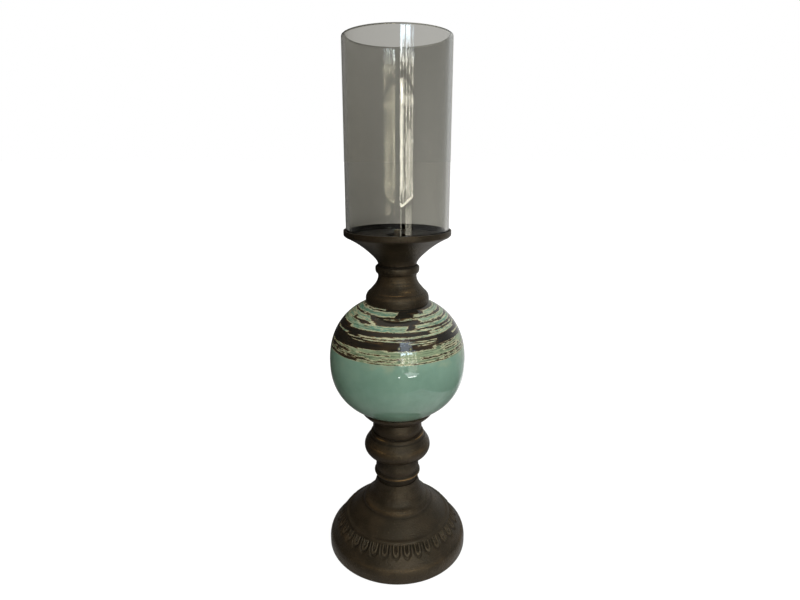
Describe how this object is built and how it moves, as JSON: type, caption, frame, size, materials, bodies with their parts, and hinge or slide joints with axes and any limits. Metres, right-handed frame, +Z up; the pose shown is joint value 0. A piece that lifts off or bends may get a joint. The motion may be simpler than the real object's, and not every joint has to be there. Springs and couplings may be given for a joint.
{
  "type": "pillar candle holder",
  "caption": "Tall turned metal stem with a banded glazed ceramic ball, a trumpet cup for a pillar candle and a loose open glass cylinder that shields the flame.",
  "frame": {"origin": "centre of the felt ring's underside, where the holder stands on the table", "axes": "+Z up along the tie rod, towards the open end of the glass"},
  "size_m": [0.1504, 0.1504, 0.52],
  "materials": {
    "antique_bronze": "satin",
    "banded_glaze": "gloss",
    "smoke_glass": "polished",
    "plated_steel": "satin",
    "seal_rubber": "matte",
    "felt": "matte"
  },
  "bodies": {
    "stand": {"ball_dish": "antique_bronze", "base_casting": "antique_bronze", "base_felt": "felt", "base_nut": "plated_steel", "base_spring_washer": "plated_steel", "base_washer": "plated_steel", "candle_cup": "antique_bronze", "ceramic_ball": "banded_glaze", "cup_nut": "plated_steel", "cup_washer": "plated_steel", "lower_seal": "seal_rubber", "neck_casting": "antique_bronze", "stem_bulb": "antique_bronze", "stem_collar": "antique_bronze", "tie_rod": "plated_steel", "upper_seal": "seal_rubber"},
    "glass": {"glass_cylinder": "smoke_glass"}
  },
  "joints": [
    {"name": "glass_lift", "type": "slide", "parent": "stand", "child": "glass", "axis": [0, 0, 1], "range_m": [0, 0.04]}
  ]
}
